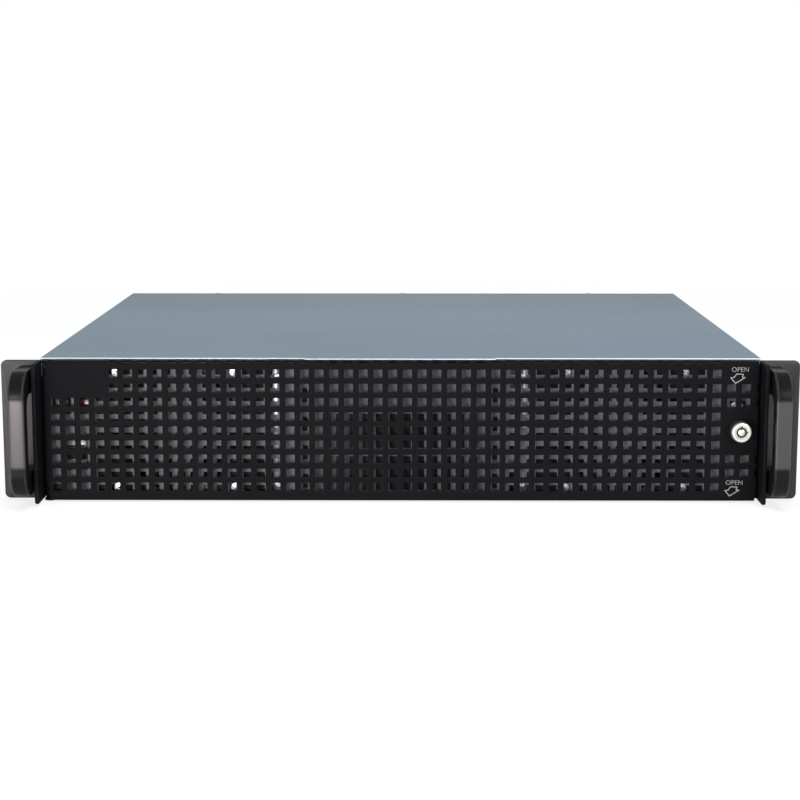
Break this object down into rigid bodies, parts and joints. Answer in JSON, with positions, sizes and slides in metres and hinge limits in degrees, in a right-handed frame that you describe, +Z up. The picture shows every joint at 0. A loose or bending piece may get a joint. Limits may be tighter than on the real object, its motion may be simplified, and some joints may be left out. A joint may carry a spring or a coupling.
{
  "type": "rackmount server case",
  "caption": "Empty 2U rackmount server case: perforated lockable front door, bow handles on slotted ears, slide-off cover, front fans, drive cage and rear slots.",
  "frame": {"origin": "middle of the case's outline, at the height of the tray's underside", "axes": "+X to the right of someone facing the door, +Y from the door into the case, +Z up"},
  "size_m": [0.4826, 0.425, 0.0866],
  "materials": {
    "case_steel": "satin blue-grey zinc",
    "black_powder": "fine matte black powder coat",
    "handle_black": "satin black",
    "bright_zinc": "bright zinc",
    "cage_zinc": "plain galvanised",
    "plate_grey": "dark grey paint",
    "fan_plastic": "moulded black",
    "rotor_plastic": "moulded black",
    "button_plastic": "smooth",
    "reset_plastic": "smooth dark red",
    "lens_clear": "frosted",
    "board_green": "solder mask",
    "socket_steel": "plated",
    "lock_nickel": "warm nickel plate",
    "core_brass": "dark brass",
    "standoff_brass": "turned"
  },
  "bodies": {
    "chassis": {"chassis_tray": "case_steel", "front_panel": "black_powder", "rear_panel": "case_steel", "left_rack_ear": "black_powder", "right_rack_ear": "black_powder", "left_handle": "handle_black", "right_handle": "handle_black", "handle_screws": "bright_zinc", "ear_screws": "bright_zinc", "fan_frames": "fan_plastic", "fan_screws": "bright_zinc", "drive_cage": "cage_zinc", "cage_screws": "bright_zinc", "centre_plate": "plate_grey", "control_board": "board_green", "control_bracket": "cage_zinc", "indicator_lenses": "lens_clear", "usb_sockets": "socket_steel", "hinge_brackets": "black_powder", "slot_covers": "bright_zinc", "slot_screws": "bright_zinc", "psu_rail": "cage_zinc", "board_standoffs": "standoff_brass"},
    "door": {"door_panel": "black_powder", "lock_barrel": "lock_nickel", "lock_clip": "bright_zinc"},
    "lock": {"lock_core": "core_brass", "lock_cam": "bright_zinc", "cam_screw": "bright_zinc"},
    "power_key": {"power_button": "button_plastic"},
    "reset_key": {"reset_button": "reset_plastic"},
    "left_rotor": {"left_fan_rotor": "rotor_plastic"},
    "right_rotor": {"right_fan_rotor": "rotor_plastic"},
    "cover": {"top_cover": "case_steel", "thumb_screws": "bright_zinc"}
  },
  "joints": [
    {"name": "door_hinge", "type": "hinge", "parent": "chassis", "child": "door", "pos_m": [-0.2132, -0.1775, 0.043], "axis": [0, 0, -1], "range_deg": [0, 90]},
    {"name": "lock_turn", "type": "hinge", "parent": "door", "child": "lock", "pos_m": [0.2048, -0.181, 0.0443], "axis": [0, -1, 0], "range_deg": [0, 90]},
    {"name": "power_press", "type": "slide", "parent": "chassis", "child": "power_key", "axis": [0, 1, 0], "range_m": [0, 0.0015], "stiffness_N_per_m": 400},
    {"name": "reset_press", "type": "slide", "parent": "chassis", "child": "reset_key", "axis": [0, 1, 0], "range_m": [0, 0.0015], "stiffness_N_per_m": 400},
    {"name": "left_fan_spin", "type": "hinge", "parent": "chassis", "child": "left_rotor", "pos_m": [-0.136, -0.1598, 0.043], "axis": [0, 1, 0], "continuous": true},
    {"name": "right_fan_spin", "type": "hinge", "parent": "chassis", "child": "right_rotor", "pos_m": [0.136, -0.1598, 0.043], "axis": [0, 1, 0], "continuous": true},
    {"name": "cover_slide", "type": "slide", "parent": "chassis", "child": "cover", "axis": [0, 1, 0], "range_m": [0, 0.378]}
  ]
}
